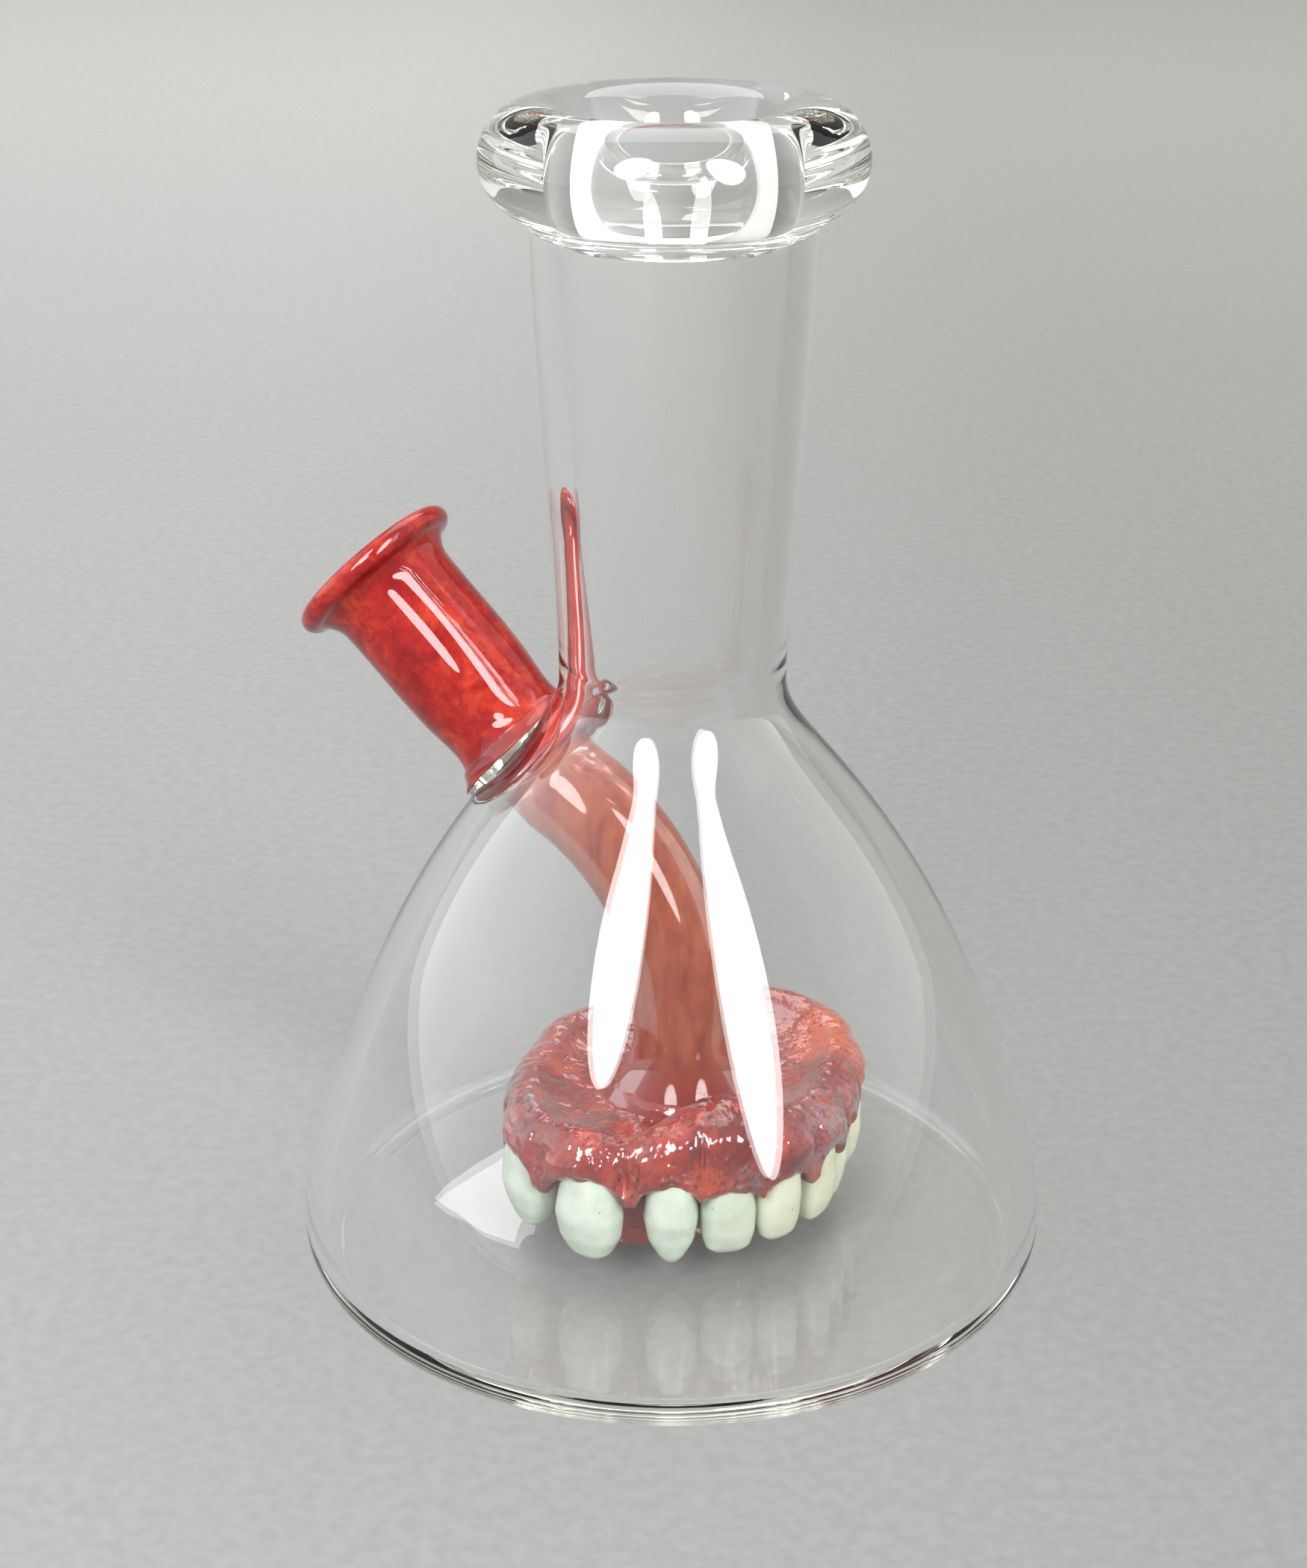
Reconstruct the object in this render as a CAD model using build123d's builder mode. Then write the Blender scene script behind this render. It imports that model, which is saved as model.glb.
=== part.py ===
"""Flask-shaped glass water pipe with a side joint and a gum-and-teeth diffuser.

Millimetres and degrees. +Z is up, the origin is the centre of the base on the surface that
it stands on, and the side joint leans out towards -X.
"""

import os
from math import cos, radians, sin, sqrt, tan

from build123d import *

os.makedirs("parts", exist_ok=True)

# ---- vessel: one blown wall of constant thickness ----
HEIGHT = 175.0
WALL = 4.0
WALL_STEPS = 12
BASE_RADIUS = 57.0
HEEL_HEIGHT = 6.0
FOOT_RADIUS = 51.0
FLOOR_THICKNESS = 4.0
FLOOR_RADIUS = FOOT_RADIUS + sqrt(HEEL_HEIGHT**2 - (HEEL_HEIGHT - FLOOR_THICKNESS) ** 2)
BELL_POINTS = [(52.7, 26.0), (43.2, 50.0), (30.1, 72.0), (22.2, 82.0)]
WAIST_Z = 93.0
WAIST_RADIUS = 16.5
NECK_POINTS = [(17.5, 112.0), (18.7, 134.0)]
NECK_TOP_Z = 157.0
NECK_TOP_RADIUS = 19.8

# ---- rolled mouth lip ----
LIP_RING_RADIUS = 19.0
LIP_ROLL_RADIUS = 7.7
LIP_BLEND = 2.5

# ---- side joint: a 14/20 ground socket on an axis that leans out towards -X ----
JOINT_TILT = 46.5
JOINT_TURN = 26.0
JOINT_CROSS_Z = 54.0
SOCKET_START = 36.6
SOCKET_WAIST = 43.0
SOCKET_SHOULDER = 64.0
SOCKET_END = 70.8
SOCKET_RADIUS = 9.5
SOCKET_WAIST_RADIUS = 9.3
SOCKET_SHOULDER_RADIUS = 9.9
GROUND_MOUTH_BORE = 14.5
GROUND_LENGTH = 20.0
GROUND_TAPER = 1 / 10
RIM_RADIUS = 13.9
RIM_ROLL = 1.7
RIM_HOLLOW = (10.7, 66.2)
COLLAR_RADIUS = 12.3
COLLAR_OFFSET = 2.0
COLLAR_REACH = 12.0
COLLAR_EDGE = 0.9

# ---- downstem: a tube that runs on from the joint, bends down and ends upright ----
STEM_RADIUS = 7.8
STEM_BORE = 10.6
STEM_START = 34.6
STEM_TURN_IN = 27.0
STEM_TILT = 60.0
STEM_ENTRY_RADIUS = 12.0
STEM_BEND_RADIUS = 38.0
STEM_FOOT_REACH = 2.2
STEM_FOOT_Z = 35.0

# ---- jaw: a diffuser cup with gum and teeth round it, hung on the foot of the downstem ----
JAW_X = 2.2
JAW_Y = 3.0
JAW_REACH = 28.2
JAW_OVAL = 2.3
JAW_OVAL_TURN = 41.0
JAW_SQUARE = 1.2
JAW_SQUARE_TURN = 43.0
JAW_POINTS = 16
GUM_TOP_Z = 28.6
GUM_LINE_Z = 17.2
GUM_WIDTH = 11.0
GUM_ROUND = 4.6
SCALLOP_RISE = 3.4
CUP_INSET = 7.4
CUP_WALL = 2.8
CUP_TOP_Z = 25.0
CUP_ROOF = 3.0
CUP_RIM_Z = 7.5
CUP_ROUND = 2.0
FLARE_RADIUS = 14.0
FLARE_EDGE = 1.2
FLARE_SLOPE = -0.35

# ---- teeth ----
TOOTH_INSET = 3.9
TOOTH_TIP_Z = 8.0
TOOTH_ROOT_Z = 24.5
TOOTH_TIP_ROUND = 0.8
# direction from the middle of the jaw, crown width, crown depth and extra crown length
TEETH = {
    "right_central_incisor": (306, 7.4, 6.4, -0.6),
    "right_lateral_incisor": (286, 8.4, 6.6, 0.2),
    "right_canine": (264.5, 8.2, 7.0, 1.0),
    "right_first_premolar": (238, 10.4, 7.6, 0.4),
    "right_second_premolar": (211, 10.4, 7.6, -0.4),
    "right_first_molar": (183, 11.0, 7.8, -0.6),
    "right_second_molar": (153, 11.2, 7.8, -0.6),
    "left_central_incisor": (328, 7.2, 6.4, -0.2),
    "left_lateral_incisor": (348, 7.0, 6.2, 0.0),
    "left_canine": (11, 8.8, 7.0, 0.8),
    "left_first_premolar": (36, 9.6, 7.4, 0.0),
    "left_second_premolar": (63, 10.0, 7.6, 0.0),
    "left_first_molar": (92, 11.0, 7.8, -0.4),
    "left_second_molar": (123, 11.2, 7.8, -0.6),
}
# from root to tip: share of the height, then of the width and of the depth at that height
TOOTH_SHAPE = [
    (0.0, 0.55, 0.60),
    (0.30, 0.72, 0.80),
    (0.62, 1.0, 1.0),
    (0.86, 0.82, 0.74),
    (1.0, 0.45, 0.40),
]

# ---- how far a cutter or a selection runs past the face that it has to clear ----
MARGIN = 1.0

# ---- frames ----
UP = Vector(0, 0, 1)
LEAN = Vector(-cos(radians(JOINT_TURN)), sin(radians(JOINT_TURN)), 0)
JOINT_DIRECTION = LEAN * sin(radians(JOINT_TILT)) + UP * cos(radians(JOINT_TILT))
JOINT_SIDE = LEAN * cos(radians(JOINT_TILT)) - UP * sin(radians(JOINT_TILT))
JOINT_CROSS = UP * JOINT_CROSS_Z
JOINT_AXIS = Axis(JOINT_CROSS, JOINT_DIRECTION)
JOINT_SECTION = Plane(origin=JOINT_CROSS, x_dir=JOINT_SIDE, z_dir=JOINT_SIDE.cross(JOINT_DIRECTION))


def square_to(start, direction, distance):
    """Plane square to an axis, at a distance along it."""
    return Plane(origin=start + direction * distance, z_dir=direction)


def jaw_reach(direction):
    """Distance from the middle of the jaw to the outside of the gum."""
    oval = JAW_OVAL * cos(radians(2 * (direction - JAW_OVAL_TURN)))
    square = JAW_SQUARE * cos(radians(4 * (direction - JAW_SQUARE_TURN)))
    return JAW_REACH + oval + square


def jaw_point(direction, inset):
    """Point at an inset from the outside of the gum, towards the middle of the jaw."""
    reach = jaw_reach(direction) - inset
    return (JAW_X + reach * cos(radians(direction)), JAW_Y + reach * sin(radians(direction)))


def jaw_curve(inset):
    """Closed curve round the jaw at an inset from the outside of the gum."""
    directions = [360 * step / JAW_POINTS for step in range(JAW_POINTS)]
    return Spline(*[jaw_point(direction, inset) for direction in directions], periodic=True)


def bell_curve():
    """Outer outline of the bell from the heel up to the waist."""
    points = [(BASE_RADIUS, HEEL_HEIGHT), *BELL_POINTS, (WAIST_RADIUS, WAIST_Z)]
    return Spline(*points, tangents=((0, 1), (0, 1)))


def neck_curve():
    """Outer outline of the neck from the waist up to the lip."""
    points = [(WAIST_RADIUS, WAIST_Z), *NECK_POINTS, (NECK_TOP_RADIUS, NECK_TOP_Z)]
    return Spline(*points, tangents=((0, 1), (0, 1)))


def close_wall(outer):
    """Close a wall section: an inner curve one wall thickness inside the outer one, and square ends."""
    shares = [step / WALL_STEPS for step in range(WALL_STEPS + 1)]
    inner = [outer @ share + (outer % share).rotate(Axis.Z, 90) * WALL for share in shares]
    Spline(*inner, tangents=(outer % 0, outer % 1))
    Line(outer @ 0, inner[0])
    Line(outer @ 1, inner[-1])


# ---- solid core of the vessel, a cutter that fits pieces against its outer face ----
with BuildPart() as vessel_core:
    with BuildSketch(Plane.XZ):
        with BuildLine():
            bell_curve()
            neck_curve()
            Polyline(
                (NECK_TOP_RADIUS, NECK_TOP_Z),
                (0, NECK_TOP_Z),
                (0, HEEL_HEIGHT),
                (BASE_RADIUS, HEEL_HEIGHT),
            )
        make_face()
    revolve(axis=Axis.Z)

# ---- bore from the joint into the downstem, a cutter for the wall and the collar ----
with BuildPart() as wall_bore:
    with BuildSketch(square_to(JOINT_CROSS, JOINT_DIRECTION, STEM_TURN_IN)):
        Circle(STEM_BORE / 2)
    extrude(amount=SOCKET_START - STEM_TURN_IN + MARGIN)

# ---- bell: the blown body from the floor's edge round the heel and up to the waist ----
CORNER_RADIUS = HEEL_HEIGHT - FLOOR_THICKNESS

with BuildPart() as bell_body:
    with BuildSketch(Plane.XZ):
        with BuildLine():
            close_wall(bell_curve())
        make_face()
        with BuildLine():
            RadiusArc((FLOOR_RADIUS, FLOOR_THICKNESS), (BASE_RADIUS, HEEL_HEIGHT), -HEEL_HEIGHT)
            Line((BASE_RADIUS, HEEL_HEIGHT), (BASE_RADIUS - WALL, HEEL_HEIGHT))
            RadiusArc(
                (BASE_RADIUS - WALL, HEEL_HEIGHT),
                (BASE_RADIUS - WALL - CORNER_RADIUS, FLOOR_THICKNESS),
                CORNER_RADIUS,
            )
            Line((BASE_RADIUS - WALL - CORNER_RADIUS, FLOOR_THICKNESS), (FLOOR_RADIUS, FLOOR_THICKNESS))
        make_face()
    revolve(axis=Axis.Z)
    add(wall_bore.part, mode=Mode.SUBTRACT)
bell_body.part.label = "bell_body"

# ---- neck: a tube that widens from the waist to the lip ----
with BuildPart() as neck_tube:
    with BuildSketch(Plane.XZ):
        with BuildLine():
            close_wall(neck_curve())
        make_face()
    revolve(axis=Axis.Z)
    add(wall_bore.part, mode=Mode.SUBTRACT)
neck_tube.part.label = "neck_tube"

# ---- mouth lip: a thick roll on the end of the neck ----
with BuildPart() as mouth_lip:
    with BuildSketch(Plane.XZ) as lip_section:
        with Locations((LIP_RING_RADIUS, HEIGHT - LIP_ROLL_RADIUS)):
            Circle(LIP_ROLL_RADIUS)
        with Locations((NECK_TOP_RADIUS - WALL / 2, NECK_TOP_Z)):
            Rectangle(WALL, LIP_ROLL_RADIUS, align=(Align.CENTER, Align.MIN))
        creases = lip_section.vertices().filter_by_position(Axis.Z, NECK_TOP_Z + MARGIN, HEIGHT)
        fillet(creases, radius=LIP_BLEND)
    revolve(axis=Axis.Z)
mouth_lip.part.label = "mouth_lip"

# ---- base floor: a flat disc whose edge is the foot of the heel ----
with BuildPart() as base_floor:
    with BuildSketch(Plane.XZ):
        with BuildLine():
            Polyline((FLOOR_RADIUS, FLOOR_THICKNESS), (0, FLOOR_THICKNESS), (0, 0), (FOOT_RADIUS, 0))
            RadiusArc((FOOT_RADIUS, 0), (FLOOR_RADIUS, FLOOR_THICKNESS), -HEEL_HEIGHT)
        make_face()
    revolve(axis=Axis.Z)
base_floor.part.label = "base_floor"

# ---- weld collar: a clear disc between the wall and the socket ----
with BuildPart() as weld_collar:
    collar_cross = JOINT_CROSS - JOINT_SIDE * COLLAR_OFFSET
    with BuildSketch(square_to(collar_cross, JOINT_DIRECTION, SOCKET_START - COLLAR_REACH)):
        Circle(COLLAR_RADIUS)
    extrude(amount=COLLAR_REACH)
    fillet(weld_collar.edges().sort_by_distance(JOINT_CROSS + JOINT_DIRECTION * SOCKET_END)[0], COLLAR_EDGE)
    add(vessel_core.part, mode=Mode.SUBTRACT)
    add(wall_bore.part, mode=Mode.SUBTRACT)
weld_collar.part.label = "weld_collar"

# ---- joint socket: a red tube with a slight waist and a ground taper ----
GROUND_START = SOCKET_END - GROUND_LENGTH
GROUND_FOOT_BORE = GROUND_MOUTH_BORE - GROUND_LENGTH * GROUND_TAPER
SHOULDER_BORE = GROUND_MOUTH_BORE - (SOCKET_END - SOCKET_SHOULDER) * GROUND_TAPER

with BuildPart() as joint_socket:
    with BuildSketch(JOINT_SECTION):
        with BuildLine():
            Spline(
                (SOCKET_RADIUS, SOCKET_START),
                (SOCKET_WAIST_RADIUS, SOCKET_WAIST),
                (SOCKET_SHOULDER_RADIUS, SOCKET_SHOULDER),
            )
            Polyline(
                (SOCKET_SHOULDER_RADIUS, SOCKET_SHOULDER),
                (SHOULDER_BORE / 2, SOCKET_SHOULDER),
                (GROUND_FOOT_BORE / 2, GROUND_START),
                (GROUND_FOOT_BORE / 2, SOCKET_START),
                (SOCKET_RADIUS, SOCKET_START),
            )
        make_face()
    revolve(axis=JOINT_AXIS)
    add(vessel_core.part, mode=Mode.SUBTRACT)
joint_socket.part.label = "joint_socket"

# ---- socket rim: the flared mouth of the joint, with a rolled edge ----
with BuildPart() as socket_rim:
    with BuildSketch(JOINT_SECTION):
        with BuildLine():
            ThreePointArc(
                (SOCKET_SHOULDER_RADIUS, SOCKET_SHOULDER),
                RIM_HOLLOW,
                (RIM_RADIUS - RIM_ROLL, SOCKET_END - 2 * RIM_ROLL),
            )
            ThreePointArc(
                (RIM_RADIUS - RIM_ROLL, SOCKET_END - 2 * RIM_ROLL),
                (RIM_RADIUS, SOCKET_END - RIM_ROLL),
                (RIM_RADIUS - RIM_ROLL, SOCKET_END),
            )
            Polyline(
                (RIM_RADIUS - RIM_ROLL, SOCKET_END),
                (GROUND_MOUTH_BORE / 2, SOCKET_END),
                (SHOULDER_BORE / 2, SOCKET_SHOULDER),
                (SOCKET_SHOULDER_RADIUS, SOCKET_SHOULDER),
            )
        make_face()
    revolve(axis=JOINT_AXIS)
    mouth_edges = socket_rim.edges().filter_by(GeomType.CIRCLE).group_by(JOINT_AXIS)[-1]
    fillet(mouth_edges.sort_by(SortBy.RADIUS)[0], RIM_ROLL)
socket_rim.part.label = "socket_rim"

# ---- downstem: the bent tube inside the vessel ----
STEM_SIDE = Plane(origin=(0, 0, 0), x_dir=LEAN * -1, z_dir=(LEAN * -1).cross(UP))
STEM_TOP = JOINT_CROSS + JOINT_DIRECTION * STEM_START
STEM_TURN = JOINT_CROSS + JOINT_DIRECTION * STEM_TURN_IN
STEM_FOOT = LEAN * -STEM_FOOT_REACH + UP * STEM_FOOT_Z
STEM_CORNER_DROP = (STEM_TURN - STEM_FOOT).dot(LEAN) / tan(radians(STEM_TILT))
STEM_CORNER = LEAN * -STEM_FOOT_REACH + UP * (STEM_TURN.Z - STEM_CORNER_DROP)

with BuildPart() as downstem:
    with BuildLine() as stem_path:
        stem_corners = [STEM_TOP, STEM_TURN, STEM_CORNER, STEM_FOOT]
        FilletPolyline(*stem_corners, radius=(STEM_ENTRY_RADIUS, STEM_BEND_RADIUS))
    with BuildSketch(square_to(STEM_TOP, JOINT_DIRECTION * -1, 0)):
        Circle(STEM_RADIUS)
        Circle(STEM_BORE / 2, mode=Mode.SUBTRACT)
    sweep()
    add(vessel_core.part, mode=Mode.INTERSECT)
    add(bell_body.part, mode=Mode.SUBTRACT)
downstem.part.label = "downstem"

# ---- stem flare: the foot of the downstem, trumpeted out onto the cup ----
FOOT_X = STEM_FOOT.X
FOOT_Y = STEM_FOOT.Y
with BuildPart() as stem_flare:
    with BuildSketch(Plane(origin=(FOOT_X, FOOT_Y, 0), x_dir=(1, 0, 0), z_dir=(0, -1, 0))):
        with BuildLine():
            Spline(
                (STEM_RADIUS, STEM_FOOT_Z),
                (FLARE_RADIUS, CUP_TOP_Z + FLARE_EDGE),
                tangents=((0, -1), (1, FLARE_SLOPE)),
            )
            Polyline(
                (FLARE_RADIUS, CUP_TOP_Z + FLARE_EDGE),
                (FLARE_RADIUS, CUP_TOP_Z),
                (STEM_BORE / 2, CUP_TOP_Z),
                (STEM_BORE / 2, STEM_FOOT_Z),
                (STEM_RADIUS, STEM_FOOT_Z),
            )
        make_face()
    revolve(axis=Axis((FOOT_X, FOOT_Y, 0), (0, 0, 1)))
stem_flare.part.label = "stem_flare"

# ---- diffuser cup: an upside-down cup, open at the bottom, that the stem blows into ----
with BuildPart() as diffuser_cup:
    with BuildSketch(Plane.XY.offset(CUP_RIM_Z)):
        with BuildLine():
            jaw_curve(CUP_INSET)
        make_face()
    extrude(amount=CUP_TOP_Z - CUP_RIM_Z)
    fillet(diffuser_cup.faces().sort_by(Axis.Z)[-1].edges(), CUP_ROUND)
    with BuildSketch(Plane.XY.offset(CUP_RIM_Z)):
        with BuildLine():
            jaw_curve(CUP_INSET + CUP_WALL)
        make_face()
    extrude(amount=CUP_TOP_Z - CUP_ROOF - CUP_RIM_Z, mode=Mode.SUBTRACT)
    with BuildSketch(Plane.XY.offset(CUP_TOP_Z)):
        with Locations((FOOT_X, FOOT_Y)):
            Circle(STEM_BORE / 2)
    extrude(amount=-CUP_ROOF, mode=Mode.SUBTRACT)
diffuser_cup.part.label = "diffuser_cup"

# ---- solid core of the cup, a cutter for the gum and the teeth ----
with BuildPart() as cup_core:
    with BuildSketch(Plane.XY.offset(CUP_RIM_Z - MARGIN)):
        with BuildLine():
            jaw_curve(CUP_INSET)
        make_face()
    extrude(amount=CUP_TOP_Z - CUP_RIM_Z + MARGIN)
    fillet(cup_core.faces().sort_by(Axis.Z)[-1].edges(), CUP_ROUND)


# ---- teeth: each crown lofted from root to tip and fused onto the cup's side ----
def make_tooth(label, direction, width, depth, extra):
    """One tooth with its root up in the gum; width runs along the gum, depth towards the cup."""
    x, y = jaw_point(direction, TOOTH_INSET)
    seat = Plane(origin=(x, y, TOOTH_ROOT_Z), x_dir=(cos(radians(direction)), sin(radians(direction)), 0))
    length = TOOTH_ROOT_Z - TOOTH_TIP_Z + extra
    with BuildPart() as tooth:
        for down, broad, deep in TOOTH_SHAPE:
            with BuildSketch(seat.offset(-down * length)):
                Ellipse(depth * deep / 2, width * broad / 2)
        loft()
        fillet(tooth.faces().sort_by(Axis.Z)[0].edges(), TOOTH_TIP_ROUND)
        add(cup_core.part, mode=Mode.SUBTRACT)
    tooth.part.label = label
    return tooth.part


teeth = [make_tooth(label, *TEETH[label]) for label in TEETH]

# ---- gum ridge: a rounded ring over the cup, scalloped round the neck of each tooth ----
with BuildPart() as gum_ridge:
    with BuildSketch(Plane.XY.offset(GUM_LINE_Z)):
        with BuildLine():
            jaw_curve(0)
        make_face()
        with BuildLine():
            jaw_curve(GUM_WIDTH)
        make_face(mode=Mode.SUBTRACT)
    extrude(amount=GUM_TOP_Z - GUM_LINE_Z)
    fillet(gum_ridge.faces().sort_by(Axis.Z)[-1].edges(), GUM_ROUND)
    add(cup_core.part, mode=Mode.SUBTRACT)
    add(stem_flare.part, mode=Mode.SUBTRACT)
    for direction, width, depth, extra in TEETH.values():
        x, y = jaw_point(direction, CUP_INSET)
        outward = Vector(cos(radians(direction)), sin(radians(direction)), 0)
        with BuildSketch(Plane(origin=(x, y, GUM_LINE_Z - width / 2 + SCALLOP_RISE), z_dir=outward)):
            Circle(width / 2)
        extrude(amount=CUP_INSET + MARGIN, mode=Mode.SUBTRACT)
    for tooth in teeth:
        add(tooth, mode=Mode.SUBTRACT)
gum_ridge.part.label = "gum_ridge"

# ---- one file for each piece ----
pieces = [
    mouth_lip.part,
    neck_tube.part,
    bell_body.part,
    base_floor.part,
    weld_collar.part,
    joint_socket.part,
    socket_rim.part,
    downstem.part,
    stem_flare.part,
    diffuser_cup.part,
    gum_ridge.part,
    *teeth,
]
for piece in pieces:
    export_step(piece, f"parts/{piece.label}.step")
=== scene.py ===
"""Looks of the flask-shaped glass water pipe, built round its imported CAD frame.

Metres, +Z up, origin at the centre of the base. The clear vessel, the red joint, the downstem and
the diffuser's cup, gum and teeth are each a smooth closed mesh that stands for its CAD nodes.
"""

from math import atan2, cos, degrees, exp, hypot, pi, radians, sin, sqrt, tan

import bpy
import numpy as np
from mathutils import Matrix, Vector, noise


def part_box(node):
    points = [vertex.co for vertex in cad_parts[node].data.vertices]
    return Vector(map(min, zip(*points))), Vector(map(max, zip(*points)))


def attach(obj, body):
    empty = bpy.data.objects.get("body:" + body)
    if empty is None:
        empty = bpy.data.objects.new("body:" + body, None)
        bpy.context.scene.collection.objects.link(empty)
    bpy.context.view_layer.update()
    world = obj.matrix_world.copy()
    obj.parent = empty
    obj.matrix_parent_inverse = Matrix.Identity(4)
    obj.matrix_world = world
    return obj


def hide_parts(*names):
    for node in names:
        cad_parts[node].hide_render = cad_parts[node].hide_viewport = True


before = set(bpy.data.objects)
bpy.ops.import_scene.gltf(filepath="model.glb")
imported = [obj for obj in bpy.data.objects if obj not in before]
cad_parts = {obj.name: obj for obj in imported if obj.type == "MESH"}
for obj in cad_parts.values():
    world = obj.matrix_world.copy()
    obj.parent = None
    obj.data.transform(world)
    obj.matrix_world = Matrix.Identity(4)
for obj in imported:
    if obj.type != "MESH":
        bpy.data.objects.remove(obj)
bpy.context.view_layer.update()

MM = 0.001

# ---- sizes of the vessel, from the frame where a box gives them ----
BASE_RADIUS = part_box("bell_body")[1].x
HEEL = 6 * MM
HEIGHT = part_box("mouth_lip")[1].z
LIP_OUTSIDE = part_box("mouth_lip")[1].x
NECK_TOP_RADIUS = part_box("neck_tube")[1].x
NECK_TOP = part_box("neck_tube")[1].z
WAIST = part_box("neck_tube")[0].z
WALL = 4 * MM
WAIST_RADIUS = 16.5 * MM
BELL_POINTS = [
    (52.7 * MM, 26 * MM),
    (43.2 * MM, 50 * MM),
    (30.1 * MM, 72 * MM),
    (22.2 * MM, 82 * MM),
]
NECK_POINTS = [(17.5 * MM, 112 * MM), (18.7 * MM, 134 * MM)]
LIP_ROLL = 7.7 * MM
LIP_BLEND = 2.5 * MM
BEAD_THICKNESS = 0.12 * MM
BEAD_RISE = 1.5 * MM
BEAD_WIDTH = 0.9 * MM

# ---- the joint's axis and sizes ----
JOINT_TILT = radians(46.5)
JOINT_TURN = radians(26)
JOINT_CROSS = Vector((0, 0, 54 * MM))
UP = Vector((0, 0, 1))
LEAN = Vector((-cos(JOINT_TURN), sin(JOINT_TURN), 0))
JOINT_DIRECTION = LEAN * sin(JOINT_TILT) + UP * cos(JOINT_TILT)
JOINT_SIDE = LEAN * cos(JOINT_TILT) - UP * sin(JOINT_TILT)
SOCKET_START = 36.6 * MM
SOCKET_END = 70.8 * MM
JOINT_SINK = 2.5 * MM
BORE_CUT = (27 * MM, 38 * MM)
COLLAR_RADIUS = 12.3 * MM
COLLAR_OFFSET = 2 * MM
COLLAR_BEVEL = (0.9 * MM, 0.5 * MM)
STEM_RADIUS = 7.8 * MM
STEM_BORE = 5.3 * MM
STEM_START = 30 * MM
STEM_TURN_AT = 27 * MM
STEM_SETBACK = 2.2 * MM
STEM_SLOPE = radians(60)
STEM_BENDS = (12 * MM, 38 * MM)
STEM_SINK = 0.25 * MM
FLARE_HEIGHT = 36 * MM
FLARE_WIDTH = 6.2 * MM

# ---- the jaw: same outline formula as the CAD gum ----
JAW_CENTRE = Vector((2.2 * MM, 3 * MM, 0))
JAW_REACH = 28.2 * MM
JAW_OVAL = (2.3 * MM, radians(41))
JAW_SQUARE = (1.2 * MM, radians(43))
CUP_INSET = 7.4 * MM
CUP_WALL = 2.8 * MM
CUP_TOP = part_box("diffuser_cup")[1].z
CUP_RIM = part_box("diffuser_cup")[0].z
GUM_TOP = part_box("gum_ridge")[1].z
GUM_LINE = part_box("gum_ridge")[0].z
STEM_HUG = 10.2 * MM
TOOTH_INSET = 3.9 * MM
TOOTH_TIP = 8 * MM
TOOTH_ROOT = 24.5 * MM
# direction from the middle of the jaw in degrees, then width, depth and extra length in
# millimetres, and the form of the crown
TEETH = {
    "right_central_incisor": (306, 7.4, 6.4, -0.6, "incisor"),
    "right_lateral_incisor": (286, 8.4, 6.6, 0.2, "incisor"),
    "right_canine": (264.5, 8.2, 7.0, 1.0, "canine"),
    "right_first_premolar": (238, 10.4, 7.6, 0.4, "premolar"),
    "right_second_premolar": (211, 10.4, 7.6, -0.4, "premolar"),
    "right_first_molar": (183, 11.0, 7.8, -0.6, "molar"),
    "right_second_molar": (153, 11.2, 7.8, -0.6, "molar"),
    "left_central_incisor": (328, 7.2, 6.4, -0.2, "incisor"),
    "left_lateral_incisor": (348, 7.0, 6.2, 0.0, "incisor"),
    "left_canine": (11, 8.8, 7.0, 0.8, "canine"),
    "left_first_premolar": (36, 9.6, 7.4, 0.0, "premolar"),
    "left_second_premolar": (63, 10.0, 7.6, 0.0, "premolar"),
    "left_first_molar": (92, 11.0, 7.8, -0.4, "molar"),
    "left_second_molar": (123, 11.2, 7.8, -0.6, "molar"),
}


# ---------------------------------------------------------------- mesh helpers
def smooth_curve(points, start, end, shares):
    """Points at shares of the C2 curve through some points, with unit tangents at its ends."""
    p = np.array(points, float)
    span = np.linalg.norm(np.diff(p, axis=0), axis=1)
    at = np.concatenate([[0], np.cumsum(span)])
    count = len(p)
    matrix = np.zeros((count, count))
    right = np.zeros_like(p)
    matrix[0, 0] = matrix[-1, -1] = 1
    right[0] = start
    right[-1] = end
    for i in range(1, count - 1):
        before, after = span[i - 1], span[i]
        matrix[i, i - 1 : i + 2] = [1 / before, 2 / before + 2 / after, 1 / after]
        right[i] = 3 * ((p[i] - p[i - 1]) / before**2 + (p[i + 1] - p[i]) / after**2)
    slope = np.linalg.solve(matrix, right)
    found = []
    for t in np.asarray(shares) * at[-1]:
        i = min(int(np.searchsorted(at, t, side="right")) - 1, count - 2)
        h = span[i]
        u = (t - at[i]) / h
        found.append(
            (2 * u**3 - 3 * u**2 + 1) * p[i]
            + (u**3 - 2 * u**2 + u) * h * slope[i]
            + (3 * u**2 - 2 * u**3) * p[i + 1]
            + (u**3 - u**2) * h * slope[i + 1]
        )
    return np.array(found)


def inset_curve(curve, distance):
    """The curve moved sideways, to the left of its direction."""
    along = np.gradient(curve, axis=0)
    along /= np.linalg.norm(along, axis=1)[:, None]
    return curve + np.stack([-along[:, 1], along[:, 0]], 1) * distance


def arc(centre, radius, first, last, steps):
    """Points on an arc between two angles in degrees."""
    return [
        (centre[0] + radius * cos(radians(a)), centre[1] + radius * sin(radians(a)))
        for a in np.linspace(first, last, steps)
    ]


def new_piece(name, vertices, faces, material):
    mesh = bpy.data.meshes.new(name)
    mesh.from_pydata([tuple(v) for v in vertices], [], faces)
    mesh.validate()
    mesh.polygons.foreach_set("use_smooth", [True] * len(mesh.polygons))
    mesh.materials.append(material)
    piece = bpy.data.objects.new(name, mesh)
    bpy.context.scene.collection.objects.link(piece)
    return piece


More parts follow.
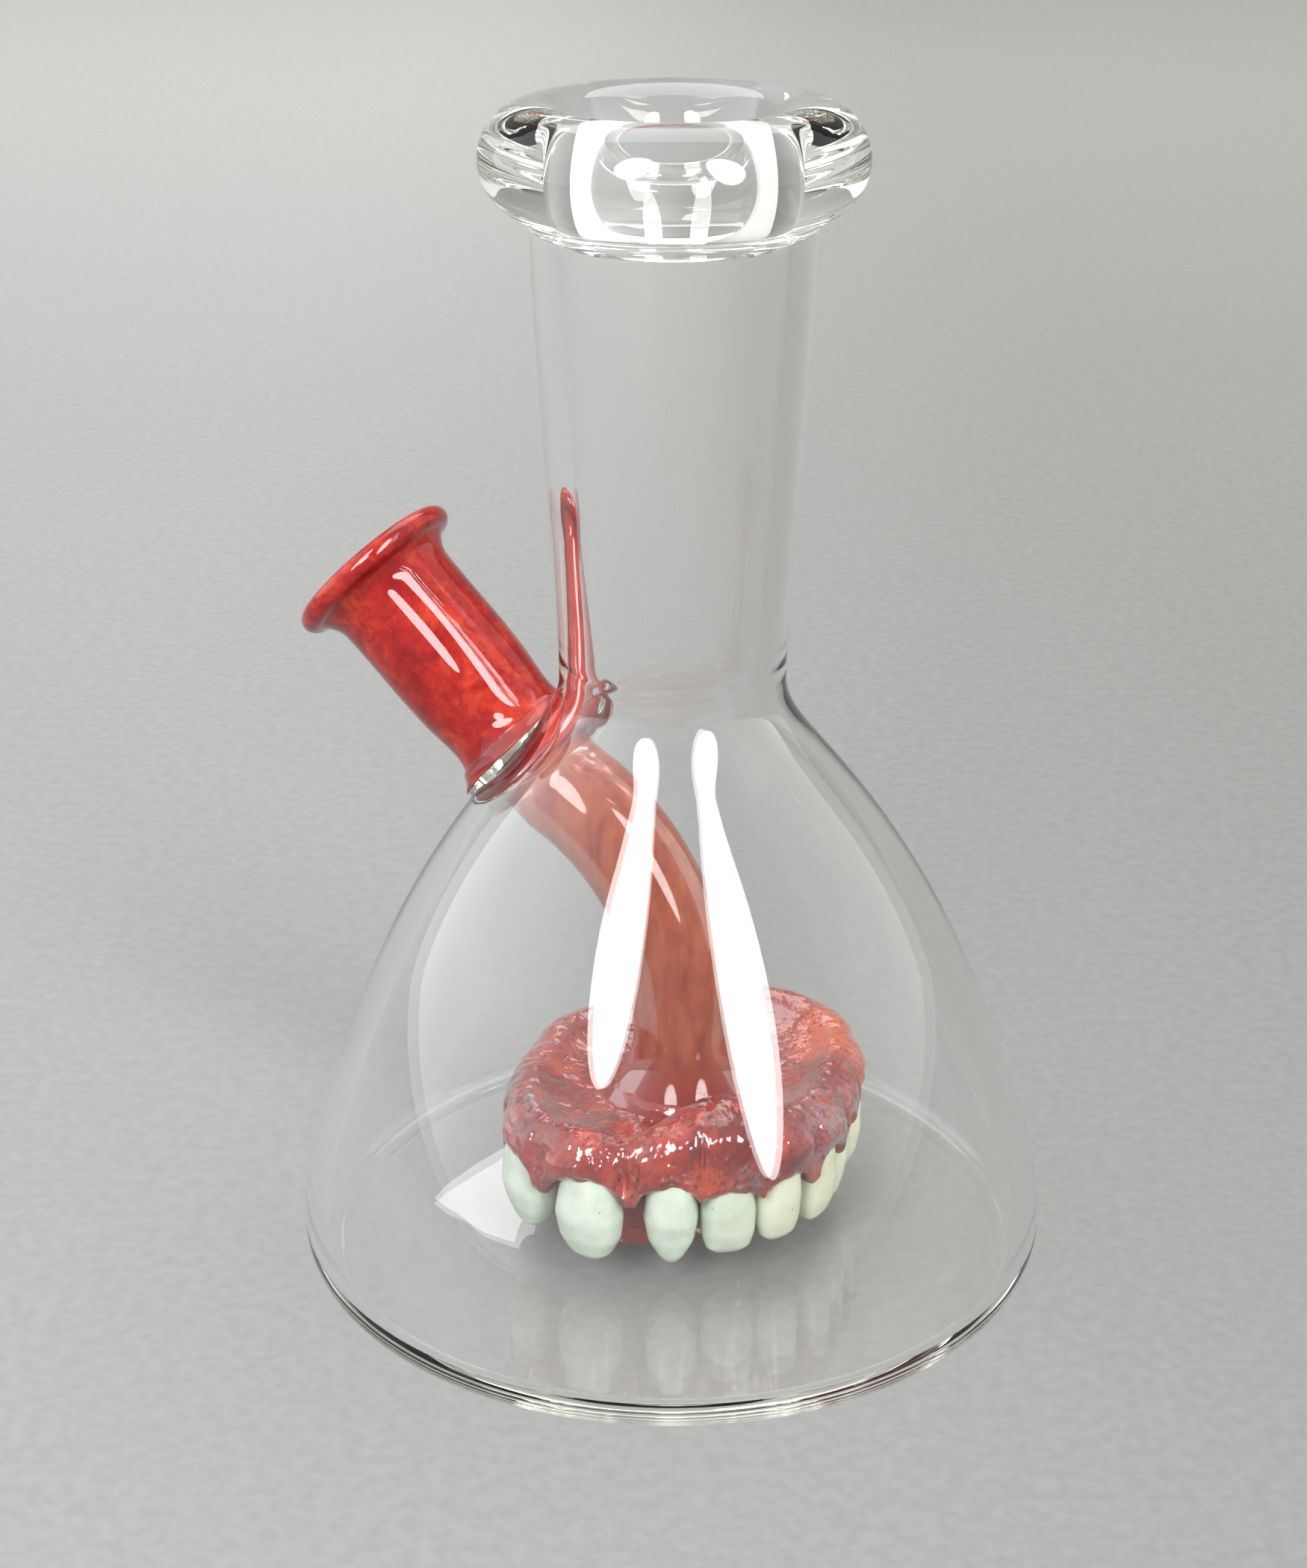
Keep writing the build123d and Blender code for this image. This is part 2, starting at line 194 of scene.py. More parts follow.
def ring_faces(rings, around, close_rings=False):
    """Quads between rings that each have the same number of points."""
    faces = []
    for j in range(rings if close_rings else rings - 1):
        a = j * around
        b = (j + 1) % rings * around
        for i in range(around):
            k = (i + 1) % around
            faces.append((a + i, a + k, b + k, b + i))
    return faces


def loft(name, rings, material, start=None, end=None, close_rings=False):
    """A closed mesh through rings of points, with a middle point at an end that is closed."""
    around = len(rings[0])
    vertices = [v for ring in rings for v in ring]
    faces = ring_faces(len(rings), around, close_rings)
    if start is not None:
        vertices.append(start)
        faces += [(len(vertices) - 1, (i + 1) % around, i) for i in range(around)]
    if end is not None:
        vertices.append(end)
        a = (len(rings) - 1) * around
        faces += [(len(vertices) - 1, a + i, a + (i + 1) % around) for i in range(around)]
    return new_piece(name, vertices, faces, material)


def circle(centre, x_dir, y_dir, radius, around):
    turns = [2 * pi * i / around for i in range(around)]
    return [centre + x_dir * (radius * cos(t)) + y_dir * (radius * sin(t)) for t in turns]


def keep(piece, slot, *nodes):
    """The piece rides with the pipe and stands for its CAD nodes; slot is not used."""
    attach(piece, "root")
    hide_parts(*nodes)
    return piece


def cast_no_shade(piece):
    """Clear glass lets lamp light through, so what stands in it and under it stays lit."""
    piece.visible_shadow = False
    piece.visible_diffuse = False


def smoothstep(low, high, x):
    t = min(max((x - low) / (high - low), 0), 1)
    return t * t * (3 - 2 * t)


# ---------------------------------------------------------------- material helpers
def new_material(name):
    material = bpy.data.materials.new(name)
    material.use_nodes = True
    nodes = material.node_tree.nodes
    return material, nodes, material.node_tree.links, nodes["Principled BSDF"]


def add_noise(nodes, links, place, scale, detail=3.0, rough=0.5, distortion=0.0):
    node = nodes.new("ShaderNodeTexNoise")
    node.inputs["Scale"].default_value = scale
    node.inputs["Detail"].default_value = detail
    node.inputs["Roughness"].default_value = rough
    node.inputs["Distortion"].default_value = distortion
    links.new(place, node.inputs["Vector"])
    return node.outputs["Fac"]


def add_ramp(nodes, links, factor, stops):
    node = nodes.new("ShaderNodeValToRGB")
    ramp = node.color_ramp
    ramp.elements[0].position, ramp.elements[0].color = stops[0]
    ramp.elements[1].position, ramp.elements[1].color = stops[-1]
    for position, colour in stops[1:-1]:
        ramp.elements.new(position).color = colour
    links.new(factor, node.inputs["Fac"])
    return node.outputs["Color"]


def add_mix(nodes, links, factor, first, second, blend="MIX"):
    node = nodes.new("ShaderNodeMix")
    node.data_type = "RGBA"
    node.blend_type = blend
    sockets = (node.inputs["Factor"], node.inputs[6], node.inputs[7])
    for socket, value in zip(sockets, (factor, first, second)):
        if isinstance(value, (float, tuple)):
            socket.default_value = value
        else:
            links.new(value, socket)
    return node.outputs[2]


def add_bump(nodes, links, shader, height, strength, distance):
    node = nodes.new("ShaderNodeBump")
    node.inputs["Strength"].default_value = strength
    node.inputs["Distance"].default_value = distance
    links.new(height, node.inputs["Height"])
    links.new(node.outputs["Normal"], shader.inputs["Normal"])
    return node.outputs["Normal"]


def add_place(nodes):
    return nodes.new("ShaderNodeTexCoord").outputs["Object"]


def add_spread(nodes, links, place, axis, low, high):
    """0 to 1 along an axis between two coordinates, in millimetres."""
    split = nodes.new("ShaderNodeSeparateXYZ")
    links.new(place, split.inputs[0])
    node = nodes.new("ShaderNodeMapRange")
    node.interpolation_type = "SMOOTHSTEP"
    node.inputs["From Min"].default_value = low * MM
    node.inputs["From Max"].default_value = high * MM
    links.new(split.outputs[axis], node.inputs["Value"])
    return node.outputs["Result"]


def add_patch(nodes, links, place, centre, inside, outside):
    """1 within one distance of a point, fading to 0 at another, in millimetres."""
    away = nodes.new("ShaderNodeVectorMath")
    away.operation = "DISTANCE"
    links.new(place, away.inputs[0])
    away.inputs[1].default_value = [c * MM for c in centre]
    node = nodes.new("ShaderNodeMapRange")
    node.interpolation_type = "SMOOTHSTEP"
    node.inputs["From Min"].default_value = outside * MM
    node.inputs["From Max"].default_value = inside * MM
    links.new(away.outputs["Value"], node.inputs["Value"])
    return node.outputs["Result"]


def clear_glass():
    """Colourless glass with a faint hand-blown ripple, and a trace of yellow where it is thick."""
    material, nodes, links, shader = new_material("clear_glass")
    shader.inputs["Base Color"].default_value = (0.99, 0.995, 0.99, 1)
    shader.inputs["Roughness"].default_value = 0.0
    shader.inputs["IOR"].default_value = 1.47
    shader.inputs["Transmission Weight"].default_value = 1.0
    ripple = add_noise(nodes, links, add_place(nodes), 28, 1.5)
    add_bump(nodes, links, shader, ripple, 0.10, 0.4 * MM)
    tint = nodes.new("ShaderNodeVolumeAbsorption")
    tint.inputs["Color"].default_value = (0.97, 0.98, 0.86, 1)
    tint.inputs["Density"].default_value = 4
    links.new(tint.outputs["Volume"], nodes["Material Output"].inputs["Volume"])
    return material


def red_glass():
    """Deep red glass of the joint, mottled, with darker flecks."""
    material, nodes, links, shader = new_material("red_glass")
    place = add_place(nodes)
    streak = add_noise(nodes, links, place, 190, 5, 0.65, 0.5)
    body = add_ramp(
        nodes, links, streak,
        [
            (0.32, (0.20, 0.004, 0.005, 1)),
            (0.48, (0.33, 0.010, 0.007, 1)),
            (0.66, (0.50, 0.042, 0.018, 1)),
        ],
    )
    fleck = add_noise(nodes, links, place, 700, 2, 0.6)
    dark = add_ramp(nodes, links, fleck, [(0.33, (0.35, 0.35, 0.35, 1)), (0.48, (0, 0, 0, 1))])
    body = add_mix(nodes, links, dark, body, (0.13, 0.003, 0.003, 1.0))
    links.new(body, shader.inputs["Base Color"])
    shader.inputs["Roughness"].default_value = 0.02
    shader.inputs["IOR"].default_value = 1.5
    shader.inputs["Transmission Weight"].default_value = 0.35
    ripple = add_noise(nodes, links, place, 90, 2)
    add_bump(nodes, links, shader, ripple, 0.12, 0.3 * MM)
    return material


def stem_glass():
    """Orange-red glass of the downstem, drawn into streaks, that deepens to red at its foot."""
    material, nodes, links, shader = new_material("stem_glass")
    place = add_place(nodes)
    drawn = nodes.new("ShaderNodeMapping")
    drawn.inputs["Scale"].default_value = (1, 1, 0.3)
    links.new(place, drawn.inputs["Vector"])
    streak = add_noise(nodes, links, drawn.outputs["Vector"], 420, 4, 0.6, 0.3)
    body = add_ramp(
        nodes, links, streak,
        [
            (0.30, (0.20, 0.030, 0.016, 1)),
            (0.52, (0.30, 0.062, 0.028, 1)),
            (0.74, (0.36, 0.105, 0.045, 1)),
        ],
    )
    foot = add_spread(nodes, links, place, "Z", 38, 27)
    body = add_mix(nodes, links, foot, body, (0.20, 0.014, 0.012, 1.0))
    links.new(body, shader.inputs["Base Color"])
    shader.inputs["Roughness"].default_value = 0.04
    shader.inputs["IOR"].default_value = 1.5
    shader.inputs["Transmission Weight"].default_value = 0.15
    ripple = add_noise(nodes, links, place, 120, 2)
    add_bump(nodes, links, shader, ripple, 0.15, 0.3 * MM)
    return material


def gum_glass():
    """Red glass with dark flecks, an orange patch and speckled grey ones, darkened in the hollow
    inside the ridge as painted shade.
    """
    material, nodes, links, shader = new_material("gum_glass")
    place = add_place(nodes)
    large = add_noise(nodes, links, place, 150, 4, 0.6, 0.5)
    body = add_ramp(
        nodes, links, large,
        [
            (0.30, (0.11, 0.008, 0.009, 1)),
            (0.50, (0.25, 0.021, 0.015, 1)),
            (0.70, (0.42, 0.062, 0.030, 1)),
        ],
    )
    orange = add_patch(nodes, links, place, (28, 12, 28), 4, 13)
    body = add_mix(nodes, links, orange, body, (0.45, 0.075, 0.028, 1.0))
    pale = add_patch(nodes, links, place, (-22, 14, 28), 4, 17)
    body = add_mix(nodes, links, pale, body, (0.30, 0.055, 0.042, 1.0))
    grain = add_noise(nodes, links, place, 520, 3, 0.7, 0.3)
    spotty = add_ramp(nodes, links, grain, [(0.36, (0, 0, 0, 1)), (0.54, (1, 1, 1, 1))])
    for centre, reach in (((25, -12, 24), 13), ((12, -24, 21), 5), ((-21, -10, 26), 7)):
        patch = add_patch(nodes, links, place, centre, 1, reach)
        both = add_mix(nodes, links, patch, (0.0, 0.0, 0.0, 1.0), spotty)
        body = add_mix(nodes, links, both, body, (0.21, 0.12, 0.13, 1.0))
    # painted shade: the hollow inside the ridge is made darker red, and no dark flecks are drawn there
    shaded_basin = add_patch(nodes, links, place, (2, 2, 29), 11, 19)
    body = add_mix(nodes, links, shaded_basin, body, (0.22, 0.018, 0.013, 1.0))
    speck = add_noise(nodes, links, place, 1150, 3, 0.7)
    dark = add_ramp(nodes, links, speck, [(0.37, (0.75, 0.75, 0.75, 1)), (0.46, (0, 0, 0, 1))])
    dark = add_mix(nodes, links, shaded_basin, dark, (0.0, 0.0, 0.0, 1.0))
    body = add_mix(nodes, links, dark, body, (0.05, 0.018, 0.018, 1.0))
    links.new(body, shader.inputs["Base Color"])
    shader.inputs["Roughness"].default_value = 0.10
    shader.inputs["IOR"].default_value = 1.5
    shader.inputs["Coat Weight"].default_value = 1.0
    shader.inputs["Coat Roughness"].default_value = 0.02
    fine = add_noise(nodes, links, place, 430, 2, 0.5)
    bumpy = add_bump(nodes, links, shader, fine, 0.75, 0.5 * MM)
    links.new(bumpy, shader.inputs["Coat Normal"])
    return material


def tooth_glass():
    """Milky greenish-white glass, a little yellower to one side, with a few dark flecks."""
    material, nodes, links, shader = new_material("tooth_glass")
    place = add_place(nodes)
    cloud = add_noise(nodes, links, place, 260, 3, 0.6)
    body = add_ramp(
        nodes, links, cloud,
        [
            (0.30, (0.46, 0.54, 0.45, 1)),
            (0.52, (0.55, 0.62, 0.53, 1)),
            (0.75, (0.63, 0.68, 0.60, 1)),
        ],
    )
    side = add_spread(nodes, links, place, "X", 2, 24)
    body = add_mix(nodes, links, side, body, (0.62, 0.64, 0.47, 1.0))
    speck = add_noise(nodes, links, place, 620, 2, 0.5)
    dark = add_ramp(nodes, links, speck, [(0.235, (1, 1, 1, 1)), (0.275, (0, 0, 0, 1))])
    body = add_mix(nodes, links, dark, body, (0.10, 0.10, 0.09, 1.0))
    links.new(body, shader.inputs["Base Color"])
    shader.inputs["Roughness"].default_value = 0.14
    shader.inputs["IOR"].default_value = 1.5
    shader.inputs["Subsurface Weight"].default_value = 0.4
    shader.inputs["Subsurface Scale"].default_value = 1.5 * MM
    shader.inputs["Subsurface Radius"].default_value = (1.0, 1.0, 0.8)
    ripple = add_noise(nodes, links, place, 300, 2)
    add_bump(nodes, links, shader, ripple, 0.2, 0.3 * MM)
    return material


CLEAR = clear_glass()
RED = red_glass()
STEM = stem_glass()
GUM = gum_glass()
TOOTH = tooth_glass()


# ---------------------------------------------------------------- the clear vessel
def denser_end(before, after, split):
    """Shares from 0 to 1, with their own count before and after a split."""
    return np.concatenate([np.linspace(0, split, before)[:-1], np.linspace(split, 1, after)])


def vessel_curves():
    """Outer and inner outlines of the wall from the heel to the lip, as (radius, height)."""
    bell_points = [(BASE_RADIUS, HEEL), *BELL_POINTS, (WAIST_RADIUS, WAIST)]
    neck_points = [(WAIST_RADIUS, WAIST), *NECK_POINTS, (NECK_TOP_RADIUS, NECK_TOP)]
    bell = smooth_curve(bell_points, (0, 1), (0, 1), denser_end(80, 110, 0.55))
    neck = smooth_curve(neck_points, (0, 1), (0, 1), denser_end(50, 14, 0.9)[::-1] * -1 + 1)
    outer = np.concatenate([bell, neck[1:]])
    inner = inset_curve(outer, WALL)
    bead = np.exp(-(((inner[:, 1] - WAIST - BEAD_RISE) / BEAD_WIDTH) ** 2))
    inner[:, 0] -= BEAD_THICKNESS * bead
    return outer, inner


OUTER, INNER = vessel_curves()


def wall_radius(curve, z):
    return float(np.interp(z, curve[:, 1], curve[:, 0]))


def lip_outline():
    """The rolled lip from the outside of the neck over its top to the inside."""
    ring = LIP_OUTSIDE - LIP_ROLL
    middle = (ring, HEIGHT - LIP_ROLL)
    reach = LIP_ROLL + LIP_BLEND
    points = []
    for side, radius in ((1, NECK_TOP_RADIUS), (-1, NECK_TOP_RADIUS - WALL)):
        centre_r = radius + side * LIP_BLEND
        centre_z = middle[1] - sqrt(reach**2 - (centre_r - ring) ** 2)
        meet = degrees(atan2(centre_z - middle[1], centre_r - ring))
        blend_end = meet + 180
        blend_start = 180 if side == 1 else 360
        blend = arc((centre_r, centre_z), LIP_BLEND, blend_start, blend_end, 10)
        points.append((blend, meet))
    (outside, first), (inside, last) = points
    roll = arc(middle, LIP_ROLL, first, last % 360, 90)
    return outside + roll[1:-1] + inside[::-1]


def vessel_outline():
    """The whole closed outline, from the middle of the underside round to the middle of the floor."""
    foot = BASE_RADIUS - HEEL
    underside = [(r, 0) for r in np.linspace(0, foot, 12)[1:]]
    heel = arc((foot, HEEL), HEEL, 270, 360, 16)
    corner = HEEL - WALL
    inside_foot = BASE_RADIUS - WALL - corner
    inside_heel = arc((inside_foot, HEEL), corner, 360, 270, 8)
    floor_top = [(r, WALL) for r in np.linspace(inside_foot, 0, 12)[1:-1]]
    return (
        underside
        + heel[1:]
        + [tuple(p) for p in OUTER[1:]]
        + lip_outline()[1:]
        + [tuple(p) for p in INNER[::-1][1:]]
        + inside_heel[1:]
        + floor_top
    )


def lift_collar(point):
    """The weld's collar: the outer wall near the joint's axis is drawn out to a flat disc."""
    from_cross = point - JOINT_CROSS
    along = from_cross.dot(JOINT_DIRECTION)
    beside_joint = SOCKET_START / 2 < along < SOCKET_START and point.dot(LEAN) > 0
    if not beside_joint:
        return point
    across = (from_cross - JOINT_DIRECTION * along + JOINT_SIDE * COLLAR_OFFSET).length
    edge = 1 - smoothstep(COLLAR_RADIUS - COLLAR_BEVEL[0], COLLAR_RADIUS + COLLAR_BEVEL[1], across)
    return point + JOINT_DIRECTION * ((SOCKET_START - along) * edge)


def cut_bore(vessel):
    """Open the wall from the joint into the downstem, and leave the bore's edge sharp."""
    side = JOINT_DIRECTION.cross(JOINT_SIDE)
    ends = [JOINT_CROSS + JOINT_DIRECTION * s for s in BORE_CUT]
    rings = [circle(end, JOINT_SIDE, side, STEM_BORE, 96) for end in ends]
    cutter = loft("bore_cutter", rings, CLEAR, start=ends[0], end=ends[1])
    cut = vessel.modifiers.new("bore", "BOOLEAN")
    cut.operation = "DIFFERENCE"
    cut.solver = "EXACT"
    cut.object = cutter
    bpy.context.view_layer.update()
    whole = vessel.evaluated_get(bpy.context.evaluated_depsgraph_get())
    opened = bpy.data.meshes.new_from_object(whole)
    vessel.modifiers.clear()
    vessel.data = opened
    opened.set_sharp_from_angle(angle=radians(50))
    bpy.data.objects.remove(cutter)


def make_vessel():
    """The clear wall in one turned mesh, finer round the joint, with its collar and bore."""
    around = 320
    crowding = 0.5
    outline = vessel_outline()
    outer_count = next(i for i, (r, z) in enumerate(outline) if z > NECK_TOP)
    joint_side = atan2(LEAN.y, LEAN.x)
    steps = [2 * pi * i / around for i in range(around)]
    angles = [joint_side + t - crowding * sin(t) for t in steps]
    rings = []
    for index, (r, z) in enumerate(outline):
        ring = [Vector((r * cos(t), r * sin(t), z)) for t in angles]
        if index < outer_count and z > HEEL:
            ring = [lift_collar(point) for point in ring]
        rings.append(ring)
    vessel = loft("vessel", rings, CLEAR, start=Vector((0, 0, 0)), end=Vector((0, 0, WALL)))
    cut_bore(vessel)
    cast_no_shade(vessel)
    nodes = ("mouth_lip", "neck_tube", "bell_body", "base_floor", "weld_collar")
    return keep(vessel, "clear_glass", *nodes)


# ---------------------------------------------------------------- the red joint
def make_joint():
    """The side joint in one piece: waisted tube, flared rim with a rolled edge, and ground bore."""
    roll = 1.7 * MM
    rim = 13.9 * MM
    mouth = 7.25 * MM
    throat = 6.25 * MM
    shoulder = 64 * MM
    ground = SOCKET_END - 20 * MM
    start = SOCKET_START - JOINT_SINK
    tube_points = [
        (11.5 * MM, start),
        (9.6 * MM, SOCKET_START),
        (9.3 * MM, 43 * MM),
        (9.9 * MM, shoulder),
    ]
    flare_points = [
        (9.9 * MM, shoulder),
        (10.7 * MM, 66.2 * MM),
        (rim - roll, SOCKET_END - 2 * roll),
    ]
    tube = smooth_curve(tube_points, (-0.6, 0.8), (0.05, 1), np.linspace(0, 1, 48))
    flare = smooth_curve(flare_points, (0.05, 1), (1, 0.12), np.linspace(0, 1, 14))
    foot = [(throat, start), (throat + 1.6 * MM, start)]
    edge = arc((rim - roll, SOCKET_END - roll), roll, -90, 90, 14)
    lip = arc((mouth + roll, SOCKET_END - roll), roll, 90, 180, 8)
    ground_bore = [
        (mouth - 0.17 * MM, SOCKET_END - roll - 1.7 * MM),
        (throat + 0.02 * MM, ground),
        (throat, ground - 0.4 * MM),
    ]
    outside = [tuple(p) for p in (*tube, *flare[1:])]
    outline = foot + outside + edge[1:] + lip + ground_bore
    across = JOINT_DIRECTION.cross(JOINT_SIDE)
    rings = [circle(JOINT_CROSS + JOINT_DIRECTION * s, JOINT_SIDE, across, r, 128) for r, s in outline]
    joint = loft("side_joint", rings, RED, close_rings=True)
    return keep(joint, "red_glass", "joint_socket", "socket_rim")


# ---------------------------------------------------------------- the downstem
STEM_TOP = JOINT_CROSS + JOINT_DIRECTION * STEM_START
STEM_TURN = JOINT_CROSS + JOINT_DIRECTION * STEM_TURN_AT
STEM_FOOT = LEAN * -STEM_SETBACK + UP * CUP_TOP
STEM_CORNER_DROP = (STEM_TURN - STEM_FOOT).dot(LEAN) / tan(STEM_SLOPE)
STEM_CORNER = LEAN * -STEM_SETBACK + UP * (STEM_TURN.z - STEM_CORNER_DROP)


def bent_path(corners, bends, step):
    """Points along straight runs joined by tangent arcs, about a step apart."""
    points = [corners[0]]
    for before, corner, after, radius in zip(corners, corners[1:], corners[2:], bends):
        back = (before - corner).normalized()
        on = (after - corner).normalized()
        opening = back.angle(on)
        trim = radius / tan(opening / 2)
        middle = corner + (back + on).normalized() * (radius / sin(opening / 2))
        first = corner + back * trim - middle
        last = corner + on * trim - middle
        turn = pi - opening
        count = max(int(radius * turn / step), 2)
        for k in range(count + 1):
            swept = turn * k / count
            points.append(middle + (first * sin(turn - swept) + last * sin(swept)) / sin(turn))
    points.append(corners[-1])
    dense = [points[0]]
    for a, b in zip(points, points[1:]):
        count = max(int((b - a).length / step + 0.5), 1)
        dense += [a.lerp(b, k / count) for k in range(1, count + 1)]
    return dense


def stem_radius(z):
    """The stem's foot opens like a trumpet onto the cup."""
    if z >= FLARE_HEIGHT:
        return STEM_RADIUS
    t = (FLARE_HEIGHT - z) / (FLARE_HEIGHT - CUP_TOP)
    return STEM_RADIUS + FLARE_WIDTH * t**2.6


def on_inner_wall(point, direction):
    """Where a line from inside the vessel meets the wall, just past its inner face."""
    low, high = 0.0, 20 * MM
    for _ in range(30):
        middle = (low + high) / 2
        p = point + direction * middle
        if hypot(p.x, p.y) < wall_radius(INNER, p.z) + STEM_SINK:
            low = middle
        else:
            high = middle
    return point + direction * low


def make_stem():
    """One bent tube whose upper end follows the vessel's inner wall."""
    step = 0.8 * MM
    dropped = 5
    run_up = 9 * MM
    around = 96
    path = bent_path([STEM_TOP, STEM_TURN, STEM_CORNER, STEM_FOOT], STEM_BENDS, step)
    side = LEAN.cross(UP)
    outer, inner = [], []
    for i, point in enumerate(path):
        along = (path[min(i + 1, len(path) - 1)] - path[max(i - 1, 0)]).normalized()
        up = side.cross(along)
        outer.append(circle(point, side, up, stem_radius(point.z), around))
        inner.append(circle(point, side, up, STEM_BORE, around))
    wall_end = [
        [on_inner_wall(p - JOINT_DIRECTION * run_up, JOINT_DIRECTION) for p in ring]
        for ring in (outer[0], inner[0])
    ]
    rings = [wall_end[1], wall_end[0]] + outer[dropped:] + inner[dropped:][::-1]
    stem = loft("downstem_skin", rings, STEM, close_rings=True)
    return keep(stem, "stem_glass", "downstem", "stem_flare")


# ---------------------------------------------------------------- the diffuser
def jaw_reach(angle):
    oval = JAW_OVAL[0] * cos(2 * (angle - JAW_OVAL[1]))
    square = JAW_SQUARE[0] * cos(4 * (angle - JAW_SQUARE[1]))
    return JAW_REACH + oval + square


def jaw_point(angle, inset, z):
    reach = jaw_reach(angle) - inset
    return JAW_CENTRE + Vector((reach * cos(angle), reach * sin(angle), z))


def make_cup():
    """Upside-down cup: a thin skirt with a roof that the stem's foot sits on."""
    corner = 2 * MM
    roof = 3 * MM
    lip = 0.8 * MM
    half_wall = CUP_WALL / 2
    angles = np.linspace(0, 2 * pi, 240, endpoint=False)

    def skirt_ring(inset, z):
        return [jaw_point(t, inset, z) for t in angles]

    def hole_ring(z):
        hole = Vector((STEM_FOOT.x, STEM_FOOT.y, z))
        return [hole + Vector((cos(t), sin(t), 0)) * STEM_BORE for t in angles]

    shoulder = arc((CUP_INSET + corner, CUP_TOP - corner), corner, 180, 90, 8)
    outside = [(CUP_INSET, z) for z in np.linspace(CUP_RIM + lip, CUP_TOP - corner, 10)[:-1]]
    rim = [
        (CUP_INSET + half_wall * (1 - cos(a)), CUP_RIM + lip * (1 - sin(a)))
        for a in np.linspace(0, pi, 9)
    ]
    inside = [
        (CUP_INSET + CUP_WALL, z) for z in np.linspace(CUP_RIM + lip, CUP_TOP - roof, 8)[1:]
    ]
    profile = shoulder[::-1] + outside[::-1] + rim[1:-1] + inside
    rings = [hole_ring(CUP_TOP)]
    rings += [skirt_ring(inset, z) for inset, z in profile]
    rings.append(hole_ring(CUP_TOP - roof))
    cup = loft("diffuser_cup_skin", rings, GUM, close_rings=True)
    return keep(cup, "gum_glass", "diffuser_cup")


def tooth_offsets(angle):
    """Share of the half pitch from the nearest tooth's middle, and that tooth's numbers."""
    best = None
    for numbers in TEETH.values():
        gap = (degrees(angle) - numbers[0] + 180) % 360 - 180
        half = degrees(numbers[1] * MM / 2 / (jaw_reach(angle) - TOOTH_INSET))
        share = abs(gap) / half
        if best is None or share < best[0]:
            best = (share, numbers)
    return best


def near(angle, middle, width):
    """1 at a direction in degrees, fading to 0 over a width either side of it."""
    gap = (degrees(angle) - middle + 180) % 360 - 180
    return exp(-((gap / width) ** 2))


def gum_line(angle):
    """Height of the gum's lower edge: arched over each tooth, low between teeth and at the front."""
    share, _ = tooth_offsets(angle)
    arch = sqrt(max(1 - min(share, 1.08) ** 2 / 1.17, 0))
    front = near(angle, 288, 24)
    return GUM_LINE + MM * ((4.0 - 1.2 * front) * arch - 1.3 * front)


def crest_height(angle):
    """Height of the ridge's top: a lobe over the front, a dip beside it, a tall back corner."""
    front = 2.6 * near(angle, 284, 20) - 1.7 * near(angle, 249, 9) - 0.6 * near(angle, 222, 14)
    return GUM_TOP + MM * (0.3 + front + 1.0 * near(angle, 40, 26))


def stem_inset(angle, radius):
    """Inset at which a circle of some radius round the stem's foot is met in one direction."""
    offset = STEM_FOOT - JAW_CENTRE
    outward = Vector((cos(angle), sin(angle), 0))
    forward = offset.x * outward.x + offset.y * outward.y
    sideways = offset.x * outward.y - offset.y * outward.x
    return jaw_reach(angle) - forward - sqrt(radius**2 - sideways**2)


def gum_section(angle):
    """Closed section of the gum at one direction: (inset, height) pairs from the inside round."""
    line = gum_line(angle)
    crest = crest_height(angle)
    lean = 3.2 * MM * near(angle, 287, 26)
    stem = stem_inset(angle, STEM_HUG)
    share, _ = tooth_offsets(angle)
    eminence = 0.5 * MM * (1 - smoothstep(0.2, 1.05, share))
    crease = 0.8 * MM * smoothstep(0.85, 1.08, share) + 1.1 * MM * near(angle, 250, 2.2)
    return [
        (5.2 * MM, line + 1.6 * MM),
        (2.6 * MM, line + 0.2 * MM),
        (1.3 * MM, line + 0.1 * MM),
        (0.5 * MM, line + 1.0 * MM),
        (0.25 * MM + crease - eminence, line * 0.45 + crest * 0.55 - 1.2 * MM),
        (0.7 * MM + crease * 0.6 - eminence, crest - 3.4 * MM),
        (2.3 * MM + lean * 0.5, crest - 0.9 * MM),
        (4.9 * MM + lean, crest),
        (7.6 * MM + lean, crest - 1.2 * MM),
        ((8.4 * MM + lean) * 0.55 + stem * 0.45, CUP_TOP + 1.3 * MM),
        (stem - 1.6 * MM, CUP_TOP + 1.7 * MM),
        (stem, CUP_TOP + 3.2 * MM),
        (stem + 0.8 * MM, CUP_TOP + 2.0 * MM),
        (stem - 1.0 * MM, CUP_TOP - 0.8 * MM),
        (10.5 * MM, CUP_TOP - 1.4 * MM),
        (7.0 * MM, CUP_TOP - 3.5 * MM),
    ]


def skin_lump(point, outer_side):
    """How far the gum's skin stands out: soft lumps, and a fine frit mostly on the outer side."""
    soft = noise.noise(point * 150) * 0.5 + noise.noise(point * 330) * 0.25
    fine = noise.noise(point * 760) * 0.16 + noise.noise(point * 1500) * 0.07
    return (soft * (0.45 + 0.55 * outer_side) + fine * (0.25 + 0.75 * outer_side)) * MM


def closed_curve(points, steps):
    """Points on the smooth closed curve through some points."""
    count = len(points)
    ring = [np.array(points[i % count]) for i in range(-3, count + 4)]
    first = (ring[1] - ring[0]) / np.linalg.norm(ring[1] - ring[0])
    last = (ring[-1] - ring[-2]) / np.linalg.norm(ring[-1] - ring[-2])
    at = np.concatenate([[0], np.cumsum([np.linalg.norm(b - a) for a, b in zip(ring, ring[1:])])])
    shares = np.linspace(at[3], at[3 + count], steps, endpoint=False) / at[-1]
    return smooth_curve(ring, first, last, shares)


